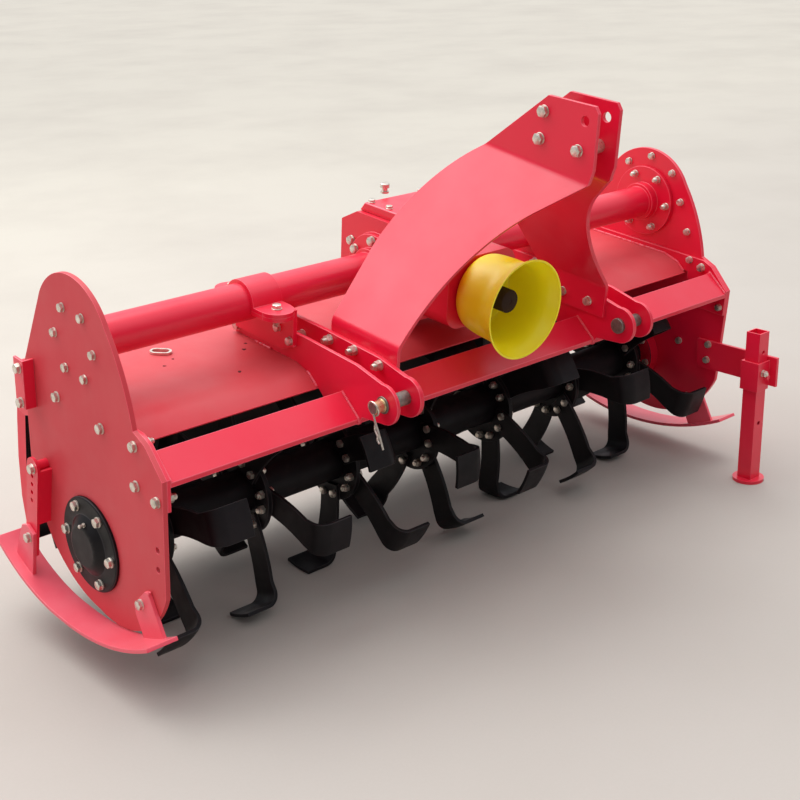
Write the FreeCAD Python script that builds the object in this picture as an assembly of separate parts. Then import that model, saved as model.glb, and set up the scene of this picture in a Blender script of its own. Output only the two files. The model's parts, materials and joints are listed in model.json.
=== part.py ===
import FreeCAD, Part
import math
import os

V = FreeCAD.Vector

# Frame of the machine: X along the rotor, -Y towards the tractor, Z up.
# The shapes are drawn level and then tipped nose down about the rotor axis, as the machine parks.
pitchDeg = 5.6
rotorZ = 245.0            # rotor axis above the ground, equal to the blade radius
halfWidth = 817.0         # outer faces of the two side plates
plateT = 10.0
endT = 8.0
tubeY = 30.0              # cross tube axis
tubeZ = 643.5
tubeR = 38.0
tubeWall = 5.0
deckZ = 527.0
deckT = 6.0
plateIn = halfWidth - plateT
endIn = plateIn - endT

# lower hitch, category 1
pinSpacing = 683.0
pinR = 11.0
pinY = -316.0
pinZ = 529.0
hitchGap = 50.0
hitchOutT = 8.0
hitchInT = 10.0
hitchNoseR = 40.0
hitchMid = pinSpacing / 2
hitchOutIn = hitchMid + hitchGap / 2
hitchInOut = hitchMid - hitchGap / 2
hitchInIn = hitchInOut - hitchInT
fixFit = 0.05             # radial room of a pin in its hole
runFit = 0.05             # radial room of a turning shaft
pinHeadR = 17.0
pinHeadT = 8.0
pinCollarT = 3.0          # washer between the outer plate and the pin's free end
pinFree = 24.0

# mast
mastT = 8.0
earOut = 34.0
earIn = earOut - mastT
mastTopZ = 1074.0
mastFootZ = 536.0
earLong = 124.0           # the upright ears, down to the upper bend
mastFootLong = 73.0       # the upright feet, up to the lower bend
mastBendR = 26.0
earLean = 0.08            # slope of the upper bend, falling to the front
mastBendTopZ = mastTopZ - earLong
mastBendLowZ = mastFootZ + mastFootLong
topHoleY = -449.0
topHoleDown = 30.0
topHoleZ = mastTopZ - topHoleDown
topHoleR = 9.7
spacerR = 13.0

# gearbox and input shaft
boxHalf = 95.0
noseHalf = 96.0
noseY = -190.0
boxFrontY = -95.0
boxRearY = 147.0
boxLowZ = 560.0
boxTopZ = 750.0
shaftZ = tubeZ - 6.0
shaftR = 17.5             # free end, 1 3/8 inch size
shaftEndY = -272.0
journalR = 22.0           # inside the nose and as far as the seal face
sealGap = 4.0
shaftInY = -130.0
guardWall = 4.0
guardSeatT = 2.0
guardSeatR = 60.0
guardHoleR = 48.0
guardDeep = 125.0
guardDrop = 12.0          # how much the guard hangs at its seat

# rotor
rotorTubeR = 45.0
rotorTubeWall = 7.0
stubR = 25.0
stubLen = 30.0
stubRootT = 12.0
hubR = 70.0
hubLen = 31.0
hubGap = 8.0              # between each hub and the end of the rotor tube
hubIn = plateIn - hubLen
rotorHalf = hubIn - hubGap
flangeR = 92.0
flangeT = 10.0
flangeCount = 7
flangeEndGap = 69.0       # from the tube's end to the last flange
flangePitch = 2 * (rotorHalf - flangeEndGap) / (flangeCount - 1)
bladeR = rotorZ
bladeT = 8.0
bladeReach = 82.0
bladesPerSide = 3
phaseStep = 25.7

# gear case
caseFlangeT = 12.0
caseDepth = 50.0
coverT = 8.0

# skids
skidLap = 5.0             # the strip reaches this far under the side plate
skidWide = 65.0
skidT = 8.0
tabT = 8.0
lugT = 8.0
linkT = 6.0
linkOff = 25.0            # from the side plate to the link
linkHalf = 21.0
linkHoleR = 4.5
rightDrop = 38.0
skidIn = halfWidth - skidLap
skidOut = skidIn + skidWide
linkIn = halfWidth + linkOff
linkOut = linkIn + linkT

# trailing board
boardClear = 6.0          # between the board's ends and the frame
boardHalf = endIn - boardClear
boardT = 5.0
boardEndT = 6.0
hingeY = 262.0
hingeZ = 507.0
hingeR = 8.0
hingeReach = 24.0
stopY = 273.5
stopZ = 432.0
stopR = 7.0
stopReach = 20.0

# parking stand, upright on the ground
legSide = 38.0
legWall = 3.0
legTop = 384.0
legFit = 1.0
footR = 38.0
footT = 8.0
armT = 8.0
armLow = 248.0
armHigh = 321.0
sleeveT = 5.0
sleeveLow = 240.0
sleeveHigh = 312.0
legX = plateIn - armT - legFit - legSide / 2
legY = -383.0


def park(shape):
    turned = shape.copy()
    turned.rotate(V(0, 0, rotorZ), V(1, 0, 0), pitchDeg)
    return turned


def face(items, x):
    start = V(x, items[0][0], items[0][1])
    here = start
    edges = []
    for item in items[1:]:
        end = V(x, item[-2], item[-1])
        if len(item) == 4:
            edges.append(Part.Arc(here, V(x, item[0], item[1]), end).toShape())
        else:
            edges.append(Part.makeLine(here, end))
        here = end
    if here.distanceToPoint(start) > 1e-6:
        edges.append(Part.makeLine(here, start))
    return Part.Face(Part.Wire(edges))


def prism(items, x0, x1):
    return face(items, x0).extrude(V(x1 - x0, 0, 0))


def block(x0, x1, y0, y1, z0, z1):
    return Part.makeBox(x1 - x0, y1 - y0, z1 - z0, V(x0, y0, z0))


def rodX(y, z, r, x0, x1):
    return Part.makeCylinder(r, x1 - x0, V(x0, y, z), V(1, 0, 0))


def rodY(x, z, r, y0, y1):
    return Part.makeCylinder(r, y1 - y0, V(x, y0, z), V(0, 1, 0))


def rodZ(x, y, r, z0, z1):
    return Part.makeCylinder(r, z1 - z0, V(x, y, z0), V(0, 0, 1))


def mirror(shape):
    return shape.mirror(V(0, 0, 0), V(1, 0, 0))


def offsetLine(points, t, closed=False):
    # the same line moved by t to its left
    moved = []
    count = len(points)
    for k, p in enumerate(points):
        normals = []
        for a, b in ((k - 1, k), (k, k + 1)):
            if not closed and (a < 0 or b >= count):
                continue
            a, b = a % count, b % count
            dy = points[b][0] - points[a][0]
            dz = points[b][1] - points[a][1]
            long = math.hypot(dy, dz)
            normals.append((-dz / long, dy / long))
        ny = sum(n[0] for n in normals) / len(normals)
        nz = sum(n[1] for n in normals) / len(normals)
        size = ny * ny + nz * nz
        moved.append((p[0] + t * ny / size, p[1] + t * nz / size))
    return moved


def sheet(points, t, x0, x1):
    return prism(list(points) + offsetLine(points, t)[::-1], x0, x1)


def circleThrough(a, b, c):
    d = 2 * (a[0] * (b[1] - c[1]) + b[0] * (c[1] - a[1]) + c[0] * (a[1] - b[1]))
    sa = a[0] ** 2 + a[1] ** 2
    sb = b[0] ** 2 + b[1] ** 2
    sc = c[0] ** 2 + c[1] ** 2
    cy = (sa * (b[1] - c[1]) + sb * (c[1] - a[1]) + sc * (a[1] - b[1])) / d
    cz = (sa * (c[0] - b[0]) + sb * (a[0] - c[0]) + sc * (b[0] - a[0])) / d
    return cy, cz, math.hypot(a[0] - cy, a[1] - cz)


def joined(shapes):
    return shapes[0].fuse(shapes[1:]).removeSplitter()


def polar(y, z, r, deg):
    return (y + r * math.cos(math.radians(deg)), z + r * math.sin(math.radians(deg)))


def ringX(y, z, rOut, rIn, x0, x1):
    return rodX(y, z, rOut, x0, x1).cut(rodX(y, z, rIn, x0 - 1, x1 + 1))


nodes = {}

# deck: flat sheet with a drooping front lip and a short rear fall
deckLine = [(-124, deckZ - 32), (-98, deckZ - 12), (-55, deckZ), (205, deckZ), (236, deckZ - 10)]
nodes["deck_sheet"] = park(sheet(deckLine, -deckT, -endIn, endIn))

# front beam: folded box with its face sloping down to the front, in lengths between the plates
beamWall = 5.0
beamOut = [(-197, deckZ - 12), (-249.5, deckZ - 52.5), (-249.5, deckZ - 62), (-213, deckZ - 78),
           (-173, deckZ - 44)]
beamIn = offsetLine(beamOut, beamWall, True)


def beamLength(x0, x1):
    return prism(beamOut, x0, x1).cut(prism(beamIn, x0 - 1, x1 + 1))


hitchOutOut = hitchOutIn + hitchOutT
beamSpans = [(-endIn, -hitchOutOut), (-hitchOutIn, -hitchInOut), (-hitchInIn, hitchInIn),
             (hitchInOut, hitchOutIn), (hitchOutOut, endIn)]
nodes["front_beam"] = park(Part.makeCompound([beamLength(a, b) for a, b in beamSpans]))

# frame end plates, welded to the deck and beam and bolted to the side plates
endOutline = [(236, deckZ - 22), (236, deckZ + 13), (-172, deckZ + 13), (-198, deckZ + 3),
              (-250, deckZ - 46), (-250, deckZ - 109), (-145, deckZ - 109), (-130, deckZ - 27)]
endPlate = prism(endOutline, plateIn - endT, plateIn)
nodes["frame_end_right"] = park(endPlate)
nodes["frame_end_left"] = park(mirror(endPlate))

# side plates: round head about the cross tube, cut front corner, curved foot
headR = 131.0
headRear = polar(tubeY, tubeZ, headR, 30.6)
headTop = polar(tubeY, tubeZ, headR, 90)
headFront = polar(tubeY, tubeZ, headR, 150)
standHoles = [(-228, 337), (-228, 297)]
sideOutline = [headRear, headTop + headFront, (-127, 640, -162, 544), (-198, 530), (-250, 481), (-250, 245),
               (-185, 150, -15, 106), (140, 165, 225, 345), (225, 540)]


def sidePlate(x0, x1):
    plate = prism(sideOutline, x0, x1)
    return plate.cut(rodX(0, rotorZ, stubR + 12, x0 - 1, x1 + 1))


left = mirror(sidePlate(plateIn, halfWidth))
for y, z in standHoles:
    left = left.cut(rodX(y, z, 6.5, -halfWidth - 1, -plateIn + 1))
nodes["side_plate_left"] = park(left)
nodes["side_plate_right"] = park(sidePlate(plateIn, halfWidth))


# gear case on the outside of the right plate: flange, body and cover follow the same pear outline
def pear(rTop, rLow):
    span = math.hypot(tubeY, tubeZ - rotorZ)
    lean = math.degrees(math.atan2(tubeZ - rotorZ, tubeY))
    side = math.degrees(math.asin((rLow - rTop) / span))
    a0 = lean - 90 + side
    a1 = lean + 90 - side
    return [polar(0, rotorZ, rLow, a0), polar(tubeY, tubeZ, rTop, a0),
            polar(tubeY, tubeZ, rTop, lean) + polar(tubeY, tubeZ, rTop, a1),
            polar(0, rotorZ, rLow, a1),
            polar(0, rotorZ, rLow, lean + 180) + polar(0, rotorZ, rLow, a0)]


caseOut = halfWidth + caseFlangeT + caseDepth
caseBody = joined([prism(pear(122, 132), halfWidth, halfWidth + caseFlangeT),
                   prism(pear(84, 106), halfWidth + caseFlangeT, caseOut)])
nodes["gear_case"] = park(caseBody)
caseCover = joined([prism(pear(74, 96), caseOut, caseOut + coverT),
                    rodX(0, rotorZ, 52, caseOut, caseOut + coverT + 6)])
nodes["gear_case_cover"] = park(caseCover)

# cross tubes with their end flanges, between the gearbox and the side plates
endFlangeR = 86.0
endFlangeT = 10.0
collarR = 46.0
boxFlangeR = 74.0
boxFlangeT = 14.0


def crossTube(inner):
    tube = ringX(tubeY, tubeZ, tubeR, tubeR - tubeWall, inner, plateIn)
    outer = ringX(tubeY, tubeZ, endFlangeR, tubeR - tubeWall, plateIn - endFlangeT, plateIn)
    collar = ringX(tubeY, tubeZ, collarR, tubeR - tubeWall, plateIn - endFlangeT - 22, plateIn - endFlangeT)
    neck = ringX(tubeY, tubeZ, boxFlangeR, tubeR - tubeWall, inner, inner + boxFlangeT)
    swell = ringX(tubeY, tubeZ, collarR, tubeR - tubeWall, inner, inner + boxFlangeT + 14)
    return joined([tube, outer, collar, neck, swell])


tubeRight = crossTube(boxHalf)
nodes["cross_tube_right"] = park(tubeRight)
nodes["cross_tube_left"] = park(mirror(tubeRight))

# gearbox: five-sided housing, nose block and lid
boxSide = [(boxRearY, boxLowZ), (boxRearY, boxTopZ - 27), (98, boxTopZ), (-62, boxTopZ),
           (boxFrontY, boxTopZ - 30), (boxFrontY, boxLowZ)]
housing = prism(boxSide, -boxHalf, boxHalf)
nose = block(-noseHalf, noseHalf, noseY, boxFrontY, boxLowZ + 8, boxTopZ - 33)
noseEdges = [e for e in nose.Edges if abs(e.Vertexes[0].Y - e.Vertexes[1].Y) > 50]
nose = nose.makeFillet(36, noseEdges)
gearbox = joined([housing, nose]).cut(rodY(0, shaftZ, journalR + runFit, noseY - 1, shaftInY + 1))
nodes["gearbox_housing"] = park(gearbox)
lidSide = [(104, boxTopZ), (88, boxTopZ + 20), (-44, boxTopZ + 20), (-56, boxTopZ)]
nodes["gearbox_lid"] = park(prism(lidSide, -boxHalf + 12, boxHalf - 12))

shaft = joined([rodY(0, shaftZ, shaftR, shaftEndY, noseY),
                rodY(0, shaftZ, journalR, noseY - sealGap, shaftInY)])
nodes["input_shaft"] = park(shaft)

# shaft guard: a deep cup open to the front that hangs a little, lofted through rings whose depth is
# counted from the seat on the nose
guardY = noseY - guardSeatT
guardOuter = [(0, 72), (-4, 80), (-13, 86), (-30, 90), (-55, 91.5), (-80, 90.5), (-100, 93), (-115, 99),
              (-guardDeep, 104)]
guardInner = [(-guardWall, 72)] + [(y, r - guardWall) for y, r in guardOuter[2:]]


def cupShape(rings):
    wires = []
    for y, r in rings:
        middle = V(0, guardY + y, shaftZ + guardDrop * y / guardDeep)
        wires.append(Part.Wire(Part.makeCircle(r, middle, V(0, 1, 0))))
    return Part.makeLoft(wires, True, False)


guard = cupShape(guardOuter).cut(cupShape(guardInner))
guard = guard.cut(rodY(0, shaftZ, guardHoleR, guardY - 3 * guardWall, guardY + 1))
guardSeat = rodY(0, shaftZ, guardSeatR, guardY, noseY)
guardSeat = guardSeat.cut(rodY(0, shaftZ, journalR + 8, guardY - 1, noseY + 1))
nodes["shaft_guard"] = park(joined([guard, guardSeat]))

# mast: two bent plates, close together at the top and spread to the hitch plates
mastSide = [(-357, mastTopZ), (-205, mastTopZ - 123), (-117, mastTopZ - 217, -79, mastTopZ - 330),
            (-79, mastFootZ), (-275, mastFootZ), (-276, mastFootZ + 76),
            (-307, mastTopZ - 319, -405, mastTopZ - 196), (-470, mastTopZ - 144), (-478, mastTopZ - 117),
            (-478, mastTopZ - 12), (-469, mastTopZ)]
footX = hitchInIn - mastT / 2
earX = earOut - mastT / 2


def bendCurve(before, corner, after):
    # a corner of the line rounded to mastBendR, as five points
    arms = []
    for end in (before, after):
        dx = end[0] - corner[0]
        dz = end[1] - corner[1]
        long = math.hypot(dx, dz)
        arms.append((dx / long, dz / long))
    between = math.acos(arms[0][0] * arms[1][0] + arms[0][1] * arms[1][1])
    reach = mastBendR / math.tan(between / 2)
    ends = [(corner[0] + a[0] * reach, corner[1] + a[1] * reach) for a in arms]
    points = []
    for t in (0, 0.25, 0.5, 0.75, 1):
        weights = ((1 - t) ** 2, 2 * t * (1 - t), t * t)
        spots = (ends[0], corner, ends[1])
        points.append(tuple(sum(w * p[i] for w, p in zip(weights, spots)) for i in (0, 1)))
    return points


def mastSection(y):
    bendZ = mastBendTopZ + earLean * (y + 207)
    top = (earX, mastTopZ + 60)
    upper = (earX, bendZ)
    lower = (footX, mastBendLowZ)
    foot = (footX, mastFootZ - 1)
    line = [top] + bendCurve(top, upper, lower) + bendCurve(upper, lower, foot) + [foot]
    ring = offsetLine(line, mastT / 2) + offsetLine(line, -mastT / 2)[::-1]
    return Part.makePolygon([V(x, y, z) for x, z in ring + ring[:1]])


mast = Part.makeLoft([mastSection(-600), mastSection(100)], True, True)
mast = mast.common(prism(mastSide, 0, 400))
spacerSpots = [(-347, mastTopZ - 30), (-345, mastTopZ - 83), (-439, mastTopZ - 85)]
mast = mast.cut(rodX(topHoleY, topHoleZ, topHoleR, 0, 60))
nodes["mast_right"] = park(mast)
nodes["mast_left"] = park(mirror(mast))
spacers = [rodX(y, z, spacerR, -earIn, earIn) for y, z in spacerSpots]
nodes["mast_spacers"] = park(Part.makeCompound(spacers))

# lower hitch plates: a pair each side, standing on the deck and over the front beam
noseTop = polar(pinY, pinZ, hitchNoseR, 80)
noseMid = polar(pinY, pinZ, hitchNoseR, 170)
noseLow = polar(pinY, pinZ, hitchNoseR, 268)
hitchFoot = [(-258, deckZ - 46), (-247, deckZ - 66), (-200, deckZ - 80), (-150, deckZ - 53),
             (-124, deckZ - 32), (-98, deckZ - 12), (-55, deckZ)]


def hitchPlate(x0, x1, rearY):
    line = [(rearY, deckZ + 60), (-80, deckZ + 60), (-235, deckZ + 55), noseTop, noseMid + noseLow]
    line += hitchFoot + [(rearY, deckZ)]
    plate = prism(line, x0, x1)
    return plate.cut(rodX(pinY, pinZ, pinR + fixFit, x0 - 1, x1 + 1))


hitchPair = Part.makeCompound([hitchPlate(hitchInIn, hitchInOut, 60),
                               hitchPlate(hitchOutIn, hitchOutOut, 150)])
nodes["hitch_plates_right"] = park(hitchPair)
nodes["hitch_plates_left"] = park(mirror(hitchPair))

pinCollar = hitchOutOut + pinCollarT
hitchPin = joined([rodX(pinY, pinZ, pinR, hitchInIn - pinHeadT, pinCollar + pinFree),
                   rodX(pinY, pinZ, pinHeadR, hitchInIn - pinHeadT, hitchInIn),
                   rodX(pinY, pinZ, pinHeadR, hitchOutOut, pinCollar)])
nodes["hitch_pin_right"] = park(hitchPin)
nodes["hitch_pin_left"] = park(mirror(hitchPin))

# saddles that carry the cross tube on the outer hitch plates: a notched web with two ears, and a strap
# over the tube bolted down on the ears
saddleWebT = 10.0
saddleLen = 76.0
strapLen = 70.0
strapT = 8.0
earT = 8.0
saddleTop = tubeZ - 6.5
saddleIn = hitchOutOut
saddleOut = saddleIn + saddleLen
strapIn = saddleOut - strapLen
footMid = strapIn + strapLen / 2
footRound = 34.0
footReach = 75.0          # from the tube axis to the middle of the rounded foot
webSide = [(-56, deckZ + 34), (-56, saddleTop), (136, saddleTop), (136, deckZ + 18), (-20, deckZ + 18)]


def strapFoot(s, x0, x1, z0, z1):
    y0, y1 = sorted((tubeY + s * (tubeR - 1), tubeY + s * footReach))
    return [block(x0, x1, y0, y1, z0, z1), rodZ(footMid, tubeY + s * footReach, footRound, z0, z1)]


arch = ringX(tubeY, tubeZ, tubeR + strapT, tubeR, strapIn, saddleOut)
arch = arch.common(block(strapIn, saddleOut, tubeY - 60, tubeY + 60, saddleTop, tubeZ + tubeR + strapT))
strapParts = [arch]
saddleParts = [prism(webSide, saddleIn, saddleIn + saddleWebT)]
for s in (-1, 1):
    strapParts += strapFoot(s, strapIn, saddleOut, saddleTop, saddleTop + strapT)
    saddleParts += strapFoot(s, saddleIn, saddleOut, saddleTop - earT, saddleTop)
tubeSpace = rodX(tubeY, tubeZ, tubeR, saddleIn - 1, saddleOut + 1)
tubeStrap = joined(strapParts).cut(tubeSpace)
nodes["tube_strap_right"] = park(tubeStrap)
nodes["tube_strap_left"] = park(mirror(tubeStrap))
saddle = joined(saddleParts).cut(tubeSpace)
nodes["tube_saddle_right"] = park(saddle)
nodes["tube_saddle_left"] = park(mirror(saddle))

# bearing cover on the left plate
coverLine = [(0, 96), (6, 96), (8, 92), (9, 62), (20, 46), (23, 38), (23, 0)]
cover = Part.Face(Part.makePolygon([V(-halfWidth - x, 0, rotorZ + r) for x, r in coverLine]
                                   + [V(-halfWidth, 0, rotorZ), V(-halfWidth, 0, rotorZ + 96)]))
nodes["bearing_cover"] = park(cover.revolve(V(0, 0, rotorZ), V(1, 0, 0), 360))


# skids: one strip bent in two sweeps, with a front tab and a rear lug; the right one is set lower
def skid(drop):
    line = [(-280, 175 - drop), (-150, 112 - drop), (37, 79 - drop), (170, 92 - drop), (290, 145 - drop)]
    inner = []
    for sweep in (line[:3], line[2:]):
        cy, cz, r = circleThrough(*sweep)
        k = (r - skidT) / r
        inner.append([(cy + (y - cy) * k, cz + (z - cz) * k) for y, z in sweep])
    heel = tuple((a + b) / 2 for a, b in zip(inner[0][2], inner[1][0]))
    strip = prism([line[0], line[1] + line[2], line[3] + line[4], inner[1][2], inner[1][1] + heel,
                   inner[0][1] + inner[0][0]], skidIn, skidOut)
    tab = prism([(-252, 163 - drop), (-203, 238 - drop), (-192, 237 - drop), (-154, 194 - drop),
                 (-158, 172 - drop), (-186, 127 - drop)], halfWidth, halfWidth + tabT)
    lug = prism([(232, 158 - drop), (210, 206 - drop), (190, 214 - drop), (164, 202 - drop),
                 (180, 96 - drop), (246, 121 - drop)], linkOut, linkOut + lugT)
    return joined([strip, tab, lug])


nodes["skid_left"] = park(mirror(skid(0)))
nodes["skid_right"] = park(skid(rightDrop))


# rear links: angle bars with a rounded head between the side plates and the skid lugs
linkHead = (162.0, 350.0)
linkFoot = (194.0, 150.0)


def skidLink(drop):
    low = (linkFoot[0], linkFoot[1] - drop)
    dy = low[0] - linkHead[0]
    dz = low[1] - linkHead[1]
    long = math.hypot(dy, dz)
    ny, nz = -dz / long, dy / long

    def beside(t, off):
        return (linkHead[0] + dy * t + ny * off, linkHead[1] + dz * t + nz * off)

    stop = 0.62
    crown = (linkHead[0] - dy / long * linkHalf, linkHead[1] - dz / long * linkHalf)
    flat = prism([beside(0, linkHalf), beside(1, linkHalf), beside(1, -linkHalf), beside(0, -linkHalf),
                  crown + beside(0, linkHalf)], linkIn, linkOut)
    lip = linkHalf - linkT
    wing = prism([beside(0, -lip), beside(stop, -lip), beside(stop, -linkHalf), beside(0, -linkHalf)],
                 halfWidth, linkIn)
    spacer = rodX(linkHead[0], linkHead[1], 11, halfWidth, linkIn)
    for k in range(4):
        hole = beside((20 + 19 * k) / long, 0)
        flat = flat.cut(rodX(hole[0], hole[1], linkHoleR, linkIn - 1, linkOut + 1))
    return joined([flat, wing, spacer])


nodes["skid_link_left"] = park(mirror(skidLink(0)))
nodes["skid_link_right"] = park(skidLink(rightDrop))

# brackets that carry the trailing board, each with its pivot pin and a stop stud
bracketSide = [(150, 490), (222, 490), (240, 503), (hingeY - 16, hingeZ + 18), (hingeY + 10, hingeZ + 18),
               (hingeY + 16, hingeZ + 2), (stopY + 11, stopZ), (stopY + 8, stopZ - 14),
               (stopY - 17, stopZ - 18), (150, 452)]
bracket = joined([prism(bracketSide, endIn, plateIn),
                  rodX(hingeY, hingeZ, hingeR, endIn - hingeReach, endIn),
                  rodX(stopY, stopZ, stopR, endIn - stopReach, endIn)])
nodes["board_bracket_right"] = park(bracket)
nodes["board_bracket_left"] = park(mirror(bracket))

# rear angles on the outer faces of the side plates
angleT = 6.0
angleOut = halfWidth + 24.0
angleFront = 184.0
angleRear = 220.0
angleLow = 462.0
angleHigh = 563.0
sideAngle = joined([block(halfWidth, angleOut, angleFront, angleFront + angleT, angleLow, angleHigh),
                    block(angleOut - angleT, angleOut, angleFront, angleRear, angleLow, angleHigh)])
nodes["side_angles"] = park(Part.makeCompound([sideAngle, mirror(sideAngle)]))

# trailing board: curved sheet with end flanges, places counted from its pivot
boardLine = [(-2, 20), (22, 15), (38, -4), (47, -37), (60, -127), (68, -217), (67, -307), (52, -385),
             (38, -403)]
endSide = [(-2, 19), (21, 14), (37, -5), (46, -37), (59, -127), (67, -217), (66, -307), (51, -383),
           (26, -375), (34, -307), (35, -217), (26, -127), (19, -57), (-17, -12), (-15, 8)]
boardSheet = sheet([(hingeY + y, hingeZ + z) for y, z in boardLine], -boardT, -boardHalf, boardHalf)
boardEnd = prism([(hingeY + y, hingeZ + z) for y, z in endSide], boardHalf - boardEndT, boardHalf)
boardEnd = boardEnd.cut(rodX(hingeY, hingeZ, hingeR + runFit, boardHalf - boardEndT - 1, boardHalf + 1))
nodes["trailing_board"] = park(joined([boardSheet, boardEnd, mirror(boardEnd)]))

# rotor: tube with end stubs, running in the hubs
rotorParts = [ringX(0, rotorZ, rotorTubeR, rotorTubeR - rotorTubeWall, -rotorHalf, rotorHalf)]
for s in (-1, 1):
    x0, x1 = sorted((s * (rotorHalf - stubRootT), s * rotorHalf))
    rotorParts.append(rodX(0, rotorZ, rotorTubeR, x0, x1))
    x0, x1 = sorted((s * rotorHalf, s * (rotorHalf + stubLen)))
    rotorParts.append(rodX(0, rotorZ, stubR, x0, x1))
nodes["rotor_tube"] = park(joined(rotorParts))

hub = rodX(0, rotorZ, hubR, hubIn, plateIn)
hub = hub.cut(rodX(0, rotorZ, stubR + runFit, hubIn - 1, rotorHalf + stubLen + 1))
nodes["rotor_hubs"] = park(Part.makeCompound([hub, mirror(hub)]))

# one blade, pointing up from the flange face at x = 0: a curved shank and a wing bent towards +X
bendR = 30.0
wingRoot = 196.0          # radius at which the wing leaves the shank
wingStart = 0.0
wingEnd = 17.5


def blade():
    lead, middle, trail = (polar(0, rotorZ, wingRoot, 90 + a) for a in (wingStart, wingEnd / 2, wingEnd))
    shank = [(-27, rotorZ + 52), (27, rotorZ + 52), (20, rotorZ + 125) + lead, middle + trail,
             (-36, rotorZ + 118, -27, rotorZ + 52)]
    flat = prism(shank, 0, bladeT)
    low = rotorZ + wingRoot
    turn = rotorZ + bladeR - bendR
    top = rotorZ + bladeR
    c = math.sqrt(0.5)
    edges = [Part.makeLine(V(0, 0, low), V(0, 0, turn))]
    middle = V(bendR - bendR * c, 0, turn + bendR * c)
    edges.append(Part.Arc(V(0, 0, turn), middle, V(bendR, 0, top)).toShape())
    edges.append(Part.makeLine(V(bendR, 0, top), V(bladeReach, 0, top)))
    edges.append(Part.makeLine(V(bladeReach, 0, top), V(bladeReach, 0, top - bladeT)))
    edges.append(Part.makeLine(V(bladeReach, 0, top - bladeT), V(bendR, 0, top - bladeT)))
    r = bendR - bladeT
    middle = V(bendR - r * c, 0, turn + r * c)
    edges.append(Part.Arc(V(bendR, 0, top - bladeT), middle, V(bladeT, 0, turn)).toShape())
    edges.append(Part.makeLine(V(bladeT, 0, turn), V(bladeT, 0, low)))
    edges.append(Part.makeLine(V(bladeT, 0, low), V(0, 0, low)))
    wing = Part.Face(Part.Wire(edges))
    wing.rotate(V(0, 0, rotorZ), V(1, 0, 0), wingStart)
    return joined([flat, wing.revolve(V(0, 0, rotorZ), V(1, 0, 0), wingEnd - wingStart)])


# seven flanges on the tube, each with six blades bolted to its two faces in turn
oneBlade = blade()
for k in range(flangeCount):
    x = flangePitch * (k - (flangeCount - 1) / 2)
    tineSet = [ringX(0, rotorZ, flangeR, rotorTubeR, x - flangeT / 2, x + flangeT / 2)]
    for n in range(2 * bladesPerSide):
        side = 1 if n % 2 == 0 else -1
        b = oneBlade.copy() if side > 0 else mirror(oneBlade)
        b.translate(V(x + side * flangeT / 2, 0, 0))
        b.rotate(V(0, 0, rotorZ), V(1, 0, 0), 180 + k * phaseStep + n * 180.0 / bladesPerSide)
        tineSet.append(b)
    nodes["tines_%d" % (k + 1)] = park(joined(tineSet))

# parking stand: arm and sleeve bolted inside the right plate, leg with a round foot
arm = block(plateIn - armT, plateIn, -428, -196, armLow, armHigh)
inHalf = legSide / 2 + legFit
outHalf = inHalf + sleeveT
sleeve = block(legX - outHalf, plateIn - armT, legY - outHalf, legY + outHalf, sleeveLow, sleeveHigh)
sleeve = sleeve.cut(block(legX - inHalf, plateIn - armT, legY - inHalf, legY + inHalf,
                          sleeveLow - 1, sleeveHigh + 1))
screw = rodY(legX, (sleeveLow + sleeveHigh) / 2, 6, legY - outHalf - 12, legY - legSide / 2 - runFit)
nodes["stand_arm"] = joined([arm, sleeve.cut(screw), screw])
half = legSide / 2
leg = block(legX - half, legX + half, legY - half, legY + half, footT, legTop)
hollow = half - legWall
leg = leg.cut(block(legX - hollow, legX + hollow, legY - hollow, legY + hollow, footT, legTop + 1))
for z in (154, 335):
    leg = leg.cut(rodY(legX, z, 5, legY - half - 1, legY + half + 1))
nodes["stand_leg"] = joined([leg, rodZ(legX, legY, footR, 0, footT)])

# the origin goes to the middle of the whole model's footprint, on the ground
whole = FreeCAD.BoundBox()
for shape in nodes.values():
    whole.add(shape.optimalBoundingBox(False, False))
shift = V(-whole.Center.x, -whole.Center.y, 0)
print("shift", round(shift.x, 3), round(shift.y, 3))
print("low", round(whole.ZMin, 3), "high", round(whole.ZMax, 3))

os.makedirs("parts", exist_ok=True)
for name, shape in nodes.items():
    shape.translate(shift)
    if not shape.isValid():
        print("not valid:", name)
    shape.exportStep("parts/%s.step" % name)
    print(name, len(shape.Solids), round(shape.Volume / 1e6, 3))
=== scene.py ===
import bpy
import bmesh
import json
import math
import random
from mathutils import Matrix, Vector


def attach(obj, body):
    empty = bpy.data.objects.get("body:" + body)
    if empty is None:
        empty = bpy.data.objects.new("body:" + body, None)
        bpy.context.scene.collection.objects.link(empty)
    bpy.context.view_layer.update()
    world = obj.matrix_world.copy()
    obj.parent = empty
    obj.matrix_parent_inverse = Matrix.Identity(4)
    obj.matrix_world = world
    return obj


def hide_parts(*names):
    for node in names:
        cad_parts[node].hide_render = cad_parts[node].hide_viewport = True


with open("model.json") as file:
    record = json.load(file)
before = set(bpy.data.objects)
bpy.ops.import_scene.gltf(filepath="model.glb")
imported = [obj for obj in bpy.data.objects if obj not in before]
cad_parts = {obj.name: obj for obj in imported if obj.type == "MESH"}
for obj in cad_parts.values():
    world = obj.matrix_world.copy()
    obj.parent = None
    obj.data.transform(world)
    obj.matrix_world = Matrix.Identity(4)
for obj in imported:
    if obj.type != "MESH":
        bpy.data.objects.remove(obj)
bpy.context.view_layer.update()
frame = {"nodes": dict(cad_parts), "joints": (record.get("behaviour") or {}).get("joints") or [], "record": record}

joints = {j["name"]: j for j in frame["joints"]}
print("frame loaded", len(frame["nodes"]), "nodes")

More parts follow.
